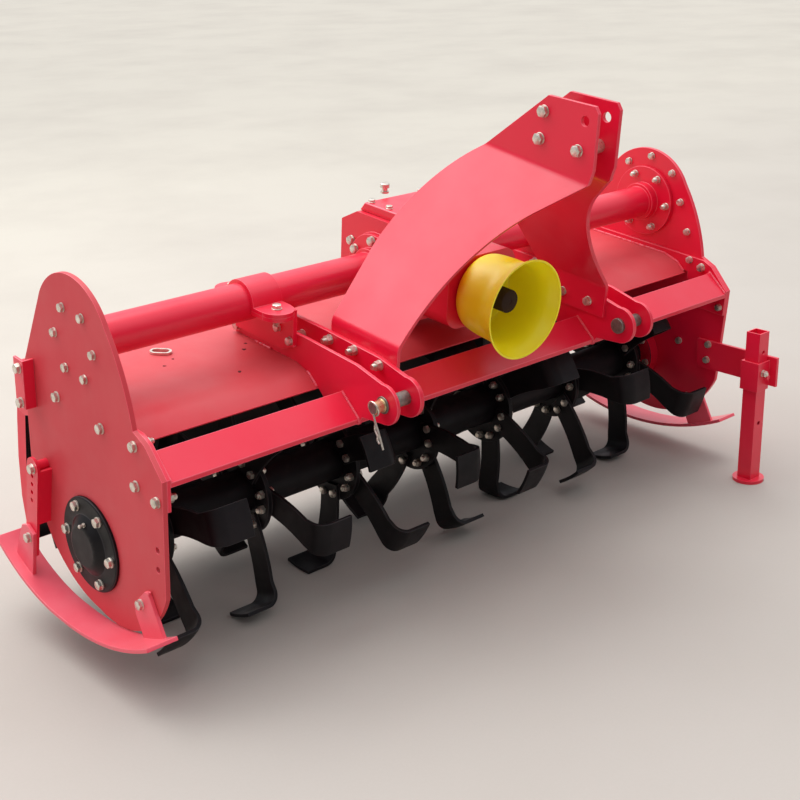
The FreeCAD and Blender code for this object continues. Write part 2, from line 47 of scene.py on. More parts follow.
# The machine is drawn level in millimetres, rotor axis 245 above the ground, and parks tipped nose down.
rotorSpot = Vector(joints["rotor_spin"]["pos_m"])
shaftAxis = Vector(joints["input_spin"]["axis"])
noseDown = math.atan2(-shaftAxis.z, -shaftAxis.y)
tipped = (Matrix.Translation(rotorSpot) @ Matrix.Rotation(noseDown, 4, "X")
          @ Matrix.Translation((0, 0, -rotorSpot.z)))
upright = Matrix.Translation((rotorSpot.x, rotorSpot.y, 0))
mm = 0.001
axes = {"+X": Vector((1, 0, 0)), "-X": Vector((-1, 0, 0)), "+Y": Vector((0, 1, 0)), "-Y": Vector((0, -1, 0)),
        "+Z": Vector((0, 0, 1)), "-Z": Vector((0, 0, -1))}


# materials
def addNode(tree, kind, inputs=None, **settings):
    node = tree.nodes.new(kind)
    for key, value in settings.items():
        setattr(node, key, value)
    for key, value in (inputs or {}).items():
        if isinstance(value, bpy.types.NodeSocket):
            tree.links.new(value, node.inputs[key])
        else:
            node.inputs[key].default_value = value
    return node


def startMaterial(name, **shader):
    mat = bpy.data.materials.new(name)
    mat.use_nodes = True
    tree = mat.node_tree
    bsdf = tree.nodes["Principled BSDF"]
    for key, value in shader.items():
        bsdf.inputs[key.replace("_", " ")].default_value = value
    spot = addNode(tree, "ShaderNodeTexCoord").outputs["Object"]
    return mat, tree, bsdf, spot


def noise(tree, spot, scale, detail=3.0, rough=0.5):
    node = addNode(tree, "ShaderNodeTexNoise",
                   {"Vector": spot, "Scale": scale, "Detail": detail, "Roughness": rough})
    return node.outputs["Fac"]


def spread(tree, value, low, high, to0=0.0, to1=1.0):
    return addNode(tree, "ShaderNodeMapRange", {"Value": value, "From Min": low, "From Max": high,
                                                "To Min": to0, "To Max": to1}).outputs["Result"]


def times(tree, a, b):
    return addNode(tree, "ShaderNodeMath", {0: a, 1: b}, operation="MULTIPLY").outputs["Value"]


def mixColour(tree, factor, a, b):
    node = addNode(tree, "ShaderNodeMix", data_type="RGBA")
    for key, value in (("Factor", factor), ("A", a), ("B", b)):
        socket = next(s for s in node.inputs if s.name == key and s.enabled)
        if isinstance(value, bpy.types.NodeSocket):
            tree.links.new(value, socket)
        else:
            socket.default_value = value
    return next(s for s in node.outputs if s.enabled)


def facingUp(tree, low=0.35, high=0.95):
    normal = addNode(tree, "ShaderNodeNewGeometry").outputs["Normal"]
    parts = addNode(tree, "ShaderNodeSeparateXYZ", {"Vector": normal})
    return spread(tree, parts.outputs["Z"], low, high)


def roughen(tree, bsdf, layers):
    # layers of (height socket, strength, distance), chained
    last = None
    for height, strength, distance in layers:
        node = addNode(tree, "ShaderNodeBump",
                       {"Height": height, "Strength": strength, "Distance": distance})
        if last is not None:
            tree.links.new(last, node.inputs["Normal"])
        last = node.outputs["Normal"]
    tree.links.new(last, bsdf.inputs["Normal"])


# the pale pink in the red looks is dust, and on faces that look up also a painted sheen of the bright sky
redLooks = {
    "redPaint": {"red": (0.85, 0.009, 0.046, 1), "deep": (0.76, 0.005, 0.034, 1),
                 "dustAndSheen": (0.84, 0.26, 0.29, 1), "film": 0.14, "all": 0.0,
                 "rough": (0.28, 0.42), "coat": 0.32},
    "redDusty": {"red": (0.68, 0.020, 0.040, 1), "deep": (0.60, 0.015, 0.032, 1),
                 "dustAndSheen": (0.58, 0.22, 0.21, 1), "film": 0.25, "all": 0.20,
                 "rough": (0.5, 0.65), "coat": 0.1},
    # the lightest red: a painted highlight on softened edges and weld beads; on the skids scuffed, dusty paint
    # with a painted highlight
    "redHighlightAndScuff": {"red": (0.90, 0.075, 0.125, 1), "deep": (0.86, 0.05, 0.09, 1), "dustAndSheen": (0.88, 0.42, 0.45, 1),
                "film": 0.25, "all": 0.08, "rough": (0.32, 0.45), "coat": 0.35}}


def makeRed(name):
    look = redLooks[name]
    mat, tree, bsdf, spot = startMaterial(name, Coat_Weight=look["coat"], Coat_Roughness=0.2,
                                          Specular_IOR_Level=0.4)
    colour = mixColour(tree, spread(tree, noise(tree, spot, 2.2, 2), 0.35, 0.65), look["deep"], look["red"])
    # faces that look up take the pale pink: dust together with a painted sheen of the sky above
    film = times(tree, spread(tree, noise(tree, spot, 6, 7, 0.6), 0.3, 0.72), facingUp(tree))
    colour = mixColour(tree, times(tree, film, look["film"]), colour, look["dustAndSheen"])
    if look["all"]:
        cloud = spread(tree, noise(tree, spot, 3.4, 8, 0.65), 0.3, 0.75, look["all"] * 0.35, look["all"])
        colour = mixColour(tree, cloud, colour, look["dustAndSheen"])
    tree.links.new(colour, bsdf.inputs["Base Color"])
    rough = spread(tree, noise(tree, spot, 14, 5), 0.3, 0.7, *look["rough"])
    tree.links.new(rough, bsdf.inputs["Roughness"])
    roughen(tree, bsdf, [(noise(tree, spot, 7, 1), 0.25, 0.001), (noise(tree, spot, 380, 2), 0.1, 0.00015)])
    return mat


blackLooks = {
    "blackPaint": {"black": (0.004, 0.003, 0.0038, 1), "grey": (0.011, 0.008, 0.010, 1), "soil": 0.12,
                   "rough": (0.42, 0.6)},
    "blackGloss": {"black": (0.003, 0.002, 0.0024, 1), "grey": (0.006, 0.004, 0.005, 1), "soil": 0.02,
                   "rough": (0.36, 0.5)},
    # the lighter black: a painted highlight on softened edges
    "blackEdgeHighlight": {"black": (0.02, 0.017, 0.019, 1), "grey": (0.045, 0.04, 0.042, 1), "soil": 0.1,
                  "rough": (0.4, 0.6)},
    "darkPlastic": {"black": (0.024, 0.010, 0.007, 1), "grey": (0.042, 0.021, 0.015, 1), "soil": 0.0,
                    "rough": (0.7, 0.85)}}


def makeBlack(name):
    look = blackLooks[name]
    mat, tree, bsdf, spot = startMaterial(name, Specular_IOR_Level=0.2)
    colour = mixColour(tree, spread(tree, noise(tree, spot, 11, 5), 0.35, 0.7), look["black"], look["grey"])
    film = times(tree, spread(tree, noise(tree, spot, 40, 8, 0.7), 0.5, 0.75, 0, look["soil"]),
                 facingUp(tree, 0.2, 0.9))
    colour = mixColour(tree, film, colour, (0.13, 0.10, 0.08, 1))
    tree.links.new(colour, bsdf.inputs["Base Color"])
    rough = spread(tree, noise(tree, spot, 30, 6), 0.3, 0.7, *look["rough"])
    tree.links.new(rough, bsdf.inputs["Roughness"])
    roughen(tree, bsdf, [(noise(tree, spot, 18, 2), 0.3, 0.001), (noise(tree, spot, 300, 3), 0.15, 0.0003)])
    return mat


yellowLook = {"yellow": (1.0, 0.86, 0.010, 1), "shade": (1.0, 0.79, 0.008, 1)}


def makeYellow():
    look = yellowLook
    mat, tree, bsdf, spot = startMaterial("yellowPlastic", Specular_IOR_Level=0.5, Subsurface_Weight=0.3,
                                          Subsurface_Scale=0.012)
    bsdf.inputs["Subsurface Radius"].default_value = (1.0, 0.75, 0.1)
    cloud = spread(tree, noise(tree, spot, 5, 3), 0.35, 0.65)
    colour = mixColour(tree, cloud, look["shade"], look["yellow"])
    tree.links.new(colour, bsdf.inputs["Base Color"])
    tree.links.new(spread(tree, noise(tree, spot, 25, 4), 0.3, 0.7, 0.3, 0.44), bsdf.inputs["Roughness"])
    roughen(tree, bsdf, [(noise(tree, spot, 20, 1), 0.2, 0.001), (noise(tree, spot, 500, 2), 0.08, 0.0002)])
    return mat


metalLooks = {
    "zincPlate": {"light": (0.80, 0.74, 0.66, 1), "dark": (0.52, 0.47, 0.38, 1),
                  "rough": (0.26, 0.42), "grain": 90},
    "yellowZinc": {"light": (0.82, 0.66, 0.40, 1), "dark": (0.58, 0.42, 0.22, 1),
                   "rough": (0.24, 0.4), "grain": 70},
    "bareSteel": {"light": (0.30, 0.31, 0.28, 1), "dark": (0.15, 0.15, 0.13, 1),
                  "rough": (0.35, 0.6), "grain": 60}}


def makeMetal(name):
    look = metalLooks[name]
    mat, tree, bsdf, spot = startMaterial(name, Metallic=0.85)
    grain = noise(tree, spot, look["grain"], 6, 0.6)
    colour = mixColour(tree, spread(tree, grain, 0.38, 0.7), look["light"], look["dark"])
    tree.links.new(colour, bsdf.inputs["Base Color"])
    rough = spread(tree, noise(tree, spot, 200, 3), 0.3, 0.7, *look["rough"])
    tree.links.new(rough, bsdf.inputs["Roughness"])
    roughen(tree, bsdf, [(noise(tree, spot, 600, 2), 0.15, 0.0002)])
    return mat


def makeSplitColour(name, part, low, high, a, b):
    # two colours, split by a part of the object's own coordinate or normal; used for two-tone paint and for
    # painted shade
    mat, tree, bsdf, spot = startMaterial(name, Specular_IOR_Level=0.4)
    source = spot
    if part[0] == "N":
        source = addNode(tree, "ShaderNodeTexCoord").outputs["Normal"]
    axis = addNode(tree, "ShaderNodeSeparateXYZ", {"Vector": source}).outputs[part[1]]
    cloud = noise(tree, spot, 9, 5, 0.6)
    first = mixColour(tree, spread(tree, cloud, 0.35, 0.7), a[0], a[1])
    second = mixColour(tree, spread(tree, cloud, 0.35, 0.7), b[0], b[1])
    tree.links.new(mixColour(tree, spread(tree, axis, low, high), first, second), bsdf.inputs["Base Color"])
    tree.links.new(spread(tree, noise(tree, spot, 14, 5), 0.3, 0.7, 0.3, 0.45), bsdf.inputs["Roughness"])
    roughen(tree, bsdf, [(noise(tree, spot, 7, 1), 0.25, 0.001), (noise(tree, spot, 380, 2), 0.1, 0.00015)])
    return mat


# dark red for discs on the deck: painted shade of small holes
def makeHoleShade():
    mat, tree, bsdf, spot = startMaterial("holeShade", Roughness=0.8, Specular_IOR_Level=0.1)
    colour = mixColour(tree, noise(tree, spot, 80), (0.06, 0.012, 0.012, 1), (0.12, 0.03, 0.03, 1))
    tree.links.new(colour, bsdf.inputs["Base Color"])
    return mat


redPaint, redDusty, redHighlightAndScuff = (makeRed(n) for n in ("redPaint", "redDusty", "redHighlightAndScuff"))
blackPaint, blackGloss, blackEdgeHighlight, darkPlastic = (makeBlack(n) for n in blackLooks)
zincPlate, yellowZinc, bareSteel = (makeMetal(n) for n in ("zincPlate", "yellowZinc", "bareSteel"))
yellowPlastic = makeYellow()
holeShade = makeHoleShade()
redPair = (redLooks["redPaint"]["deep"], redLooks["redPaint"]["red"])
blackPair = (blackLooks["blackPaint"]["black"], blackLooks["blackPaint"]["grey"])
# the right hub is red, the left one black; the trailing board's rotor side is black, a painted shade
hubPaint = makeSplitColour("hubPaint", "CX", -0.1, 0.1, blackPair, redPair)
boardShadedFront = makeSplitColour("boardShadedFront", "NY", -0.3, -0.1, blackPair, redPair)
slotColouring = {"red_paint": (redPaint, redHighlightAndScuff), "black_paint": (blackPaint, blackEdgeHighlight),
            "yellow_plastic": (yellowPlastic, yellowPlastic), "bare_steel": (bareSteel, bareSteel),
            "zinc": (zincPlate, zincPlate)}
print("materials made")

# carried-over nodes: colour by slot or of their own, softened edges in a painted highlight
dressLook = {"weld": 0.02 * mm, "flatTurn": 0.6, "softSteps": 2, "softTurn": 32}
edgeSoftening = {"default": 1.2 * mm, "gearbox_housing": 5 * mm, "gearbox_lid": 3 * mm, "gear_case": 3 * mm,
                 "gear_case_cover": 2.5 * mm}
# the skids take the lightest red, scuffed and dusty paint together with a painted highlight
ownColouring = {"rotor_hubs": hubPaint, "trailing_board": boardShadedFront, "bearing_cover": blackGloss,
             "side_plate_left": redDusty, "deck_sheet": redDusty, "skid_left": redHighlightAndScuff,
             "skid_right": redHighlightAndScuff}
slotOf = {p["node"]: p["material_slot"] for p in frame["record"]["subparts"]}
for name, node in frame["nodes"].items():
    mesh = node.data
    mesh.materials.clear()
    main, edge = slotColouring[slotOf[name]]
    mesh.materials.append(ownColouring.get(name, main))
    mesh.materials.append(edge)
    mesh.attributes.remove(mesh.attributes["custom_normal"])
    mesh.shade_smooth()
    weld = node.modifiers.new("weld", "WELD")
    weld.merge_threshold = dressLook["weld"]
    flat = node.modifiers.new("flat", "DECIMATE")
    flat.decimate_type = "DISSOLVE"
    flat.angle_limit = math.radians(dressLook["flatTurn"])
    soft = node.modifiers.new("soft", "BEVEL")
    soft.width = edgeSoftening.get(name, edgeSoftening["default"])
    soft.segments = dressLook["softSteps"]
    soft.limit_method = "ANGLE"
    soft.angle_limit = math.radians(dressLook["softTurn"])
    # the bevel faces take the second material, for red and black parts a lighter paint that is a painted highlight
    soft.material = 1
    even = node.modifiers.new("even", "WEIGHTED_NORMAL")
    even.keep_sharp = False
print("nodes dressed")


# shapes
def facing(x, y, z, way, spin=0.0):
    # a place whose local Z looks along way, in millimetres of the level machine
    direction = axes[way] if isinstance(way, str) else Vector(way).normalized()
    turn = direction.to_track_quat("Z", "Y").to_matrix().to_4x4()
    return Matrix.Translation(Vector((x, y, z)) * mm) @ turn @ Matrix.Rotation(spin, 4, "Z")


def addRings(bm, rings, close=True, capEnds=(True, True)):
    # skins a list of rings, each a list of points
    rows = [[bm.verts.new(p) for p in ring] for ring in rings]
    n = len(rows[0])
    for a, b in zip(rows, rows[1:]):
        for k in range(n if close else n - 1):
            bm.faces.new((a[k], a[(k + 1) % n], b[(k + 1) % n], b[k]))
    if capEnds[0]:
        bm.faces.new(rows[0][::-1])
    if capEnds[1]:
        bm.faces.new(rows[-1])
    return rows


def addLathe(bm, place, profile, steps=32, capEnds=(True, True)):
    # profile of (height, radius) in millimetres, turned about the place's Z
    rings = []
    for height, radius in profile:
        ring = []
        for k in range(steps):
            a = 2 * math.pi * k / steps
            ring.append(place @ (Vector((radius * math.cos(a), radius * math.sin(a), height)) * mm))
        rings.append(ring)
    addRings(bm, rings, True, capEnds)


def addTube(bm, points, radii, sides=10):
    # round bar through points in metres; radii is one number or one for each point
    rings = []
    for k, p in enumerate(points):
        a = points[max(k - 1, 0)]
        b = points[min(k + 1, len(points) - 1)]
        r = radii if isinstance(radii, float) else radii[k]
        turn = (b - a).to_track_quat("Z", "Y").to_matrix()
        rings.append([p + turn @ Vector((r * math.cos(t), r * math.sin(t), 0))
                      for t in (2 * math.pi * j / sides for j in range(sides))])
    addRings(bm, rings)


def addPlate(bm, place, outline, thick):
    # flat piece of an outline in the place's XY, standing up along its Z
    addRings(bm, [[place @ (Vector((u, v, h)) * mm) for u, v in outline] for h in (0, thick)])


hexLook = {"sides": 24, "flat": 0.93, "slope": 0.58}


def addHex(bm, place, across, height, base=0.0):
    # hex head with its corners chamfered by a cone
    sides = hexLook["sides"]
    inner = across / 2
    top = inner * hexLook["flat"]
    rows = [[], [], []]
    for k in range(sides):
        a = 2 * math.pi * k / sides
        wide = inner / math.cos((a + math.pi / 6) % (math.pi / 3) - math.pi / 6)
        drop = (wide - top) * hexLook["slope"]
        for row, radius, z in ((0, wide, 0.0), (1, wide, height - drop), (2, top, height)):
            spot = Vector((radius * math.cos(a), radius * math.sin(a), base + z)) * mm
            rows[row].append(place @ spot)
    addRings(bm, rows)


# width over the flats, heights of head and nut, washer's radius and thickness, thread's radius
boltSizes = {
    "M6": {"across": 10, "head": 4, "washer": 6, "washerT": 1.1, "nut": 5, "thread": 3},
    "M8": {"across": 13, "head": 5.3, "washer": 7.6, "washerT": 1.4, "nut": 6.5, "thread": 4},
    "M10": {"across": 15, "head": 6.4, "washer": 9, "washerT": 1.6, "nut": 8.4, "thread": 5},
    "M12": {"across": 17, "head": 7.2, "washer": 10.6, "washerT": 2, "nut": 10.4, "thread": 6},
    "M14": {"across": 20, "head": 8.2, "washer": 11.8, "washerT": 1.8, "nut": 11, "thread": 7}}
threadLook = {"pitch": 1.5, "crest": 0.3, "root": 0.9, "deep": 0.7}


def addWasher(bm, place, s):
    r, t = s["washer"], s["washerT"]
    addLathe(bm, place, [(-1, r), (t - 0.4, r), (t, r - 0.5)], 24)


def addBolt(bm, place, size):
    s = boltSizes[size]
    addWasher(bm, place, s)
    addHex(bm, place, s["across"], s["head"], s["washerT"])


def addNut(bm, place, size, stub=8.0):
    s = boltSizes[size]
    addWasher(bm, place, s)
    addHex(bm, place, s["across"], s["nut"], s["washerT"])
    top = s["washerT"] + s["nut"]
    profile = [(top - 1, s["thread"])]
    look = threadLook
    for k in range(int(stub / look["pitch"])):
        low = top + k * look["pitch"]
        profile.append((low + look["crest"], s["thread"]))
        profile.append((low + look["root"], s["thread"] - look["deep"]))
    profile.append((top + stub, s["thread"] - 0.8))
    addLathe(bm, place, profile, 16)


def addPiece(name, bm, material, body, place=tipped, sharp=35.0):
    bmesh.ops.recalc_face_normals(bm, faces=bm.faces)
    mesh = bpy.data.meshes.new(name)
    bm.to_mesh(mesh)
    bm.free()
    mesh.materials.append(material)
    mesh.shade_smooth()
    mesh.set_sharp_from_angle(angle=math.radians(sharp))
    piece = bpy.data.objects.new(name, mesh)
    bpy.context.scene.collection.objects.link(piece)
    piece.matrix_world = place
    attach(piece, body)
    return piece


def spotOn(way, level, a, b):
    # the point (a, b) of the plane that looks along way and lies at level
    return {"X": (level, a, b), "Y": (a, level, b), "Z": (a, b, level)}[way[1]]


def circleSpots(y, z, r, count, start=0.0):
    turns = [math.radians(start) + 2 * math.pi * k / count for k in range(count)]
    return [(y + r * math.cos(a), z + r * math.sin(a)) for a in turns]


# fasteners: rows of kind, size, the way the head looks, the level of the plane, places on the plane
tubeAxis = (30, 643.5)
rotorZ = 245
ringSpots = circleSpots(26, 647, 67.5, 6)
ringSpotsRight = circleSpots(27, 645, 69.5, 6)
leftSpots = [(101, 515), (-55, 509), (-165, 517), (-167, 440), (-233, 436)]
frameBolts = {
    "boltsLeftPlate": [
        ("bolt", "M10", "-X", -817, ringSpots),
        ("bolt", "M12", "-X", -817, leftSpots),
        ("nut", "M10", "+X", -797, ringSpots),
        ("nut", "M12", "+X", -799, leftSpots),
        ("bolt", "M12", "-X", -841, [(199, 545), (198, 474)]),
        ("nut", "M12", "+X", -835, [(199, 545), (198, 474)])],
    "boltsRightPlate": [
        ("nut", "M10", "-X", 797, ringSpotsRight),
        ("bolt", "M10", "-X", 807, [(25, 757), (93, 729), (-43, 728), (-78, 663), (-109, 595), (73, 575),
                                    (-128, 312)]),
        ("bolt", "M10", "-X", 799, [(-133, 531), (-236, 437)]),
        ("bolt", "M12", "-X", 799, [(-170, 521)]),
        ("nut", "M10", "-X", 807, [(-174, 175)]),
        ("bolt", "M12", "+X", 841, [(199, 545), (198, 474)]),
        ("nut", "M12", "-X", 835, [(199, 545), (198, 474)])],
    "boltsLeftSkid": [
        ("bolt", "M12", "-X", -848, [(160, 349)]),
        ("bolt", "M12", "-X", -856, [(182, 189)]),
        ("bolt", "M12", "-X", -825, [(-179, 204)])],
    "boltsRightSkid": [
        ("bolt", "M12", "+X", 848, [(160, 349)]),
        ("bolt", "M12", "+X", 856, [(182, 151)]),
        ("bolt", "M12", "+X", 825, [(-174, 170)])],
    "boltsBearingCover": [
        ("bolt", "M12", "-X", -826, circleSpots(0, 245.5, 78.5, 6, 1))],
    "boltsHubs": [
        ("bolt", "M10", "-X", 776, circleSpots(0, rotorZ, 57, 6, 10)),
        ("bolt", "M10", "+X", -776, circleSpots(0, rotorZ, 57, 6, 10))],
    "boltsLeftHitch": [
        ("bolt", "M12", "+X", -298.5, [(-82, 573), (-158, 573), (-233, 567), (-233, 520), (-120, 553)]),
        ("nut", "M12", "-X", -316.5, [(-2.5, 555), (-88, 572), (-163, 574), (-238, 568)]),
        ("bolt", "M10", "-X", -384.5, [(-8, 588), (-47, 571)]),
        ("bolt", "M12", "-X", -374.5, [(141, 543), (104, 562)]),
        ("nut", "M10", "+X", -366.5, [(-8, 576), (-47, 571), (104, 562)]),
        ("bolt", "M12", "+Z", 645, [(-415.5, -44), (-415.5, 104)]),
        ("nut", "M12", "-Z", 629, [(-415.5, -44), (-415.5, 104)])],
    "boltsRightHitch": [
        ("bolt", "M12", "-X", 298.5, [(-156, 563), (-230, 562)]),
        ("nut", "M12", "+X", 316.5, [(-156, 563), (-230, 562), (-85, 571)]),
        ("bolt", "M12", "+X", 384.5, [(-8, 588), (-40, 568)]),
        ("bolt", "M12", "+X", 374.5, [(136, 541), (104, 562)]),
        ("nut", "M12", "-X", 366.5, [(-8, 576), (-40, 568), (104, 562)]),
        ("bolt", "M12", "+Z", 645, [(415.5, -44), (415.5, 104)]),
        ("nut", "M12", "-Z", 629, [(415.5, -44), (415.5, 104)])],
    "boltsMastTop": [
        ("bolt", "M14", "-X", -34, [(-350, 1043), (-345, 991), (-439, 988)]),
        ("nut", "M14", "+X", 34, [(-350, 1043), (-345, 991), (-439, 988)])],
    "boltsGearbox": [
        ("bolt", "M12", "-X", -109, circleSpots(*tubeAxis, 61, 6, 30)),
        ("bolt", "M12", "+X", 109, circleSpots(*tubeAxis, 61, 6, 30)),
        ("bolt", "M12", "-X", -95, [(112, 683)]),
        ("bolt", "M8", "+Z", 770, [(-70, -36), (70, -36), (-70, 24), (70, 24), (-70, 80), (70, 80)])],
    "boltsStand": [
        ("bolt", "M10", "-X", 799, [(-222, 334), (-223, 293)])]}


def addFixings(name, rows, body="frame"):
    bm = bmesh.new()
    turn = random.Random(len(name))
    for kind, size, way, level, places in rows:
        for a, b in places:
            place = facing(*spotOn(way, level, a, b), way, turn.uniform(0, 1.05))
            if kind == "bolt":
                addBolt(bm, place, size)
            else:
                addNut(bm, place, size)
    return addPiece(name, bm, zincPlate, body)


for name, rows in frameBolts.items():
    addFixings(name, rows)
print("frame fasteners made")

# blade bolts: two through every blade and its flange, turning with the rotor
bladeBolts = {"flanges": 7, "blades": 6, "pitch": 233.0, "flangeHalf": 5, "bladeT": 8, "radius": 73,
              "half": 16.5, "start": 180, "phase": 25.7, "across": 16, "head": 7, "nut": 9,
              "stub": [(8, 6), (14, 6), (15, 5.2)]}


def addBladeBolts():
    look = bladeBolts
    bm = bmesh.new()
    for k in range(look["flanges"]):
        x = look["pitch"] * (k - (look["flanges"] - 1) / 2)
        for n in range(look["blades"]):
            side = 1 if n % 2 == 0 else -1
            angle = look["start"] + k * look["phase"] + n * 360 / look["blades"]
            turned = Matrix.Rotation(math.radians(angle), 4, "X")
            for off in (-look["half"], look["half"]):
                for sense, level in ((1, look["flangeHalf"] + look["bladeT"]), (-1, look["flangeHalf"])):
                    way = "+X" if side * sense > 0 else "-X"
                    local = facing(x + side * sense * level, off, look["radius"], way, 0.4 * k)
                    place = Matrix.Translation((0, 0, rotorZ * mm)) @ turned @ local
                    addHex(bm, place, look["across"], look["head"] if sense > 0 else look["nut"])
                    if sense < 0:
                        addLathe(bm, place, look["stub"], 12)
    addPiece("bladeBolts", bm, zincPlate, "rotor")


addBladeBolts()
print("blade bolts made")

# shaft guard: the moulded cup, one smooth turned wall that hangs a little towards its mouth
guardLook = {"seatY": -192.0, "axisZ": 637.5, "drop": 0.03, "wall": 4.0, "steps": 96,
             "outer": [(0, 68), (1, 72), (4, 78), (13, 82.5), (30, 85), (55, 86.5), (80, 87.5), (98, 91.5),
                       (112, 98), (121, 102.6), (124.6, 104)],
             "back": [(0, 30), (0, 66)], "lip": [(125, 103), (124.6, 101)], "floor": [(4, 62), (4, 30)],
             "floorR": 70, "slip": 0.4, "boltR": 54, "boltY": -196, "boltZ": 637.3}


def smoothLine(points, parts=6):
    # points of a curve through all the given ones
    line = []
    for k in range(len(points) - 1):
        p0, p1 = points[max(k - 1, 0)], points[k]
        p2, p3 = points[k + 1], points[min(k + 2, len(points) - 1)]
        for j in range(parts):
            t = j / parts
            line.append(tuple(0.5 * (2 * b + (c - a) * t + (2 * a - 5 * b + 4 * c - d) * t * t
                                     + (3 * b - a - 3 * c + d) * t ** 3)
                              for a, b, c, d in zip(p0, p1, p2, p3)))
    return line + [tuple(points[-1])]


def addGuard():
    look = guardLook
    outer = smoothLine(look["outer"])
    wall = look["wall"]
    inner = [(max(d - look["slip"], wall), r - wall) for d, r in outer if r - wall > look["floorR"]]
    profile = look["back"] + outer + look["lip"] + inner[::-1] + look["floor"]
    rings = []
    for depth, radius in profile:
        ring = []
        for k in range(look["steps"]):
            a = 2 * math.pi * k / look["steps"]
            z = look["axisZ"] - look["drop"] * depth + radius * math.sin(a)
            ring.append(Vector((radius * math.cos(a), look["seatY"] - depth, z)) * mm)
        rings.append(ring)
    bm = bmesh.new()
    addRings(bm, rings + rings[:1], True, (False, False))
    bmesh.ops.remove_doubles(bm, verts=bm.verts, dist=0.00001)
    guard = addPiece("guardCup", bm, yellowPlastic, "frame", sharp=50)
    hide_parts("shaft_guard")
    bm = bmesh.new()
    for k in range(4):
        a = math.radians(45 + 90 * k)
        z = look["boltZ"] + look["boltR"] * math.sin(a)
        addBolt(bm, facing(look["boltR"] * math.cos(a), look["boltY"], z, "-Y"), "M8")
    addPiece("boltsGuard", bm, zincPlate, "frame")


addGuard()

# input shaft: splined end, seal collar and the dark cap pushed over the splines
shaftLook = {"axisZ": 637.5, "end": -272.0, "seat": -190.0, "splines": 6, "outer": 17.4, "inner": 14.6,
             "journal": 21.8, "from": -130.0, "capR": 24.6, "capFrom": -224.0,
             "rows": [(-190.0, 1.0), (-266, 1.0), (-270, 0.9)]}


def addShaft():
    look = shaftLook
    bm = bmesh.new()
    rings = []
    for y, grow in look["rows"]:
        ring = []
        for k in range(96):
            a = 2 * math.pi * k / 96
            wave = math.cos(a * look["splines"])
            high = min(max(wave * 3 + 0.5, 0), 1)
            r = (look["inner"] + (look["outer"] - look["inner"]) * high) * grow
            ring.append(Vector((r * math.cos(a), y, look["axisZ"] + r * math.sin(a))) * mm)
        rings.append(ring)
    addRings(bm, rings)
    journal = look["from"] - look["seat"] + 4
    addLathe(bm, facing(0, look["from"], look["axisZ"], "-Y"),
             [(0, look["journal"]), (journal - 0.6, look["journal"]), (journal, look["journal"] - 0.6)], 48)
    shaft = addPiece("splinedShaft", bm, bareSteel, "input_shaft")
    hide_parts("input_shaft")
    bm = bmesh.new()
    depth = look["capFrom"] - look["end"]
    r = look["capR"]
    addLathe(bm, facing(0, look["capFrom"], look["axisZ"], "-Y"),
             [(-1, 19), (-1, r), (1, r + 0.9), (6, r + 0.9), (7, r), (depth - 3.2, r - 0.4),
              (depth - 1.2, r - 1.6), (depth - 0.2, r - 4), (depth - 0.2, 6), (depth - 1.5, 5)], 48)
    addPiece("shaftCap", bm, darkPlastic, "input_shaft")


addShaft()
print("guard and shaft made")

# weld beads along joints of plates, places in the level machine
weldLook = {"radius": 2.6, "ripple": 0.22, "pitch": 3.2, "shake": 0.12, "rimX": (-95, 95), "rimR": 75.2,
            "rimSteps": 120}
weldRuns = [
    [(-375.5, -198, 515.5), (-375.5, -249, 476), (-375.5, -250.5, 466)],
    [(-305.8, -198, 515.5), (-305.8, -249, 476), (-305.8, -250.5, 466)],
    [(375.5, -198, 515.5), (375.5, -249, 476)],
    [(305.8, -198, 515.5), (305.8, -249, 476), (305.8, -250.5, 466)],
    [(-375.5, 26, 528), (-375.5, 80, 528)], [(-375.5, -122, 497), (-375.5, -98, 516), (-375.5, -90, 519)],
    [(375.5, 26, 528), (375.5, 80, 528)], [(375.5, -122, 497), (375.5, -98, 516), (375.5, -90, 519)],
    [(-317.5, -55, 528), (-317.5, 58, 528)], [(317.5, -55, 528), (317.5, 58, 528)],
    [(-797.8, -120, 498), (-797.8, -98, 516), (-797.8, -55, 528), (-797.8, 204, 528), (-797.8, 234, 518)],
    [(797.8, -120, 498), (797.8, -98, 516), (797.8, -55, 528), (797.8, 204, 528), (797.8, 234, 518)],
    [(-797.8, -174, 484), (-797.8, -197, 516.5), (-797.8, -249, 476)],
    [(797.8, -174, 484), (797.8, -197, 516.5), (797.8, -249, 476)],
    [(-384, -54, 561.5), (-376, -54, 561.5)], [(-818, -158, 173), (-818, -153, 193)],
    [(-818, -203, 238), (-825, -203, 238)], [(-855, 180, 97), (-855, 244, 122)]]


def addWelds():
    look = weldLook
    bm = bmesh.new()
    shake = random.Random(7)
    for run in weldRuns:
        corners = [Vector(p) * mm for p in run]
        points = []
        for a, b in zip(corners, corners[1:]):
            count = max(2, int((b - a).length / (look["pitch"] * mm * 0.5)))
            points += [a.lerp(b, k / count) for k in range(count)]
        points.append(corners[-1])
        radii = []
        for k in range(len(points)):
            swell = look["ripple"] * (1 if k % 2 else -0.4) + shake.uniform(-look["shake"], look["shake"])
            radii.append(look["radius"] * mm * (1 + swell) * (0.5 if k in (0, len(points) - 1) else 1))
        addTube(bm, points, radii, 8)
    steps = look["rimSteps"]
    for x in look["rimX"]:
        ring = [Vector((x, y, z)) * mm for y, z in circleSpots(*tubeAxis, look["rimR"], steps)]
        ring.append(ring[0])
        addTube(bm, ring, [look["radius"] * mm * (0.8 if k % 2 else 0.6) for k in range(steps + 1)], 6)
    # the beads take the lightest red, a painted highlight along them
    addPiece("weldBeads", bm, redHighlightAndScuff, "frame", sharp=60)


addWelds()
print("weld beads made")

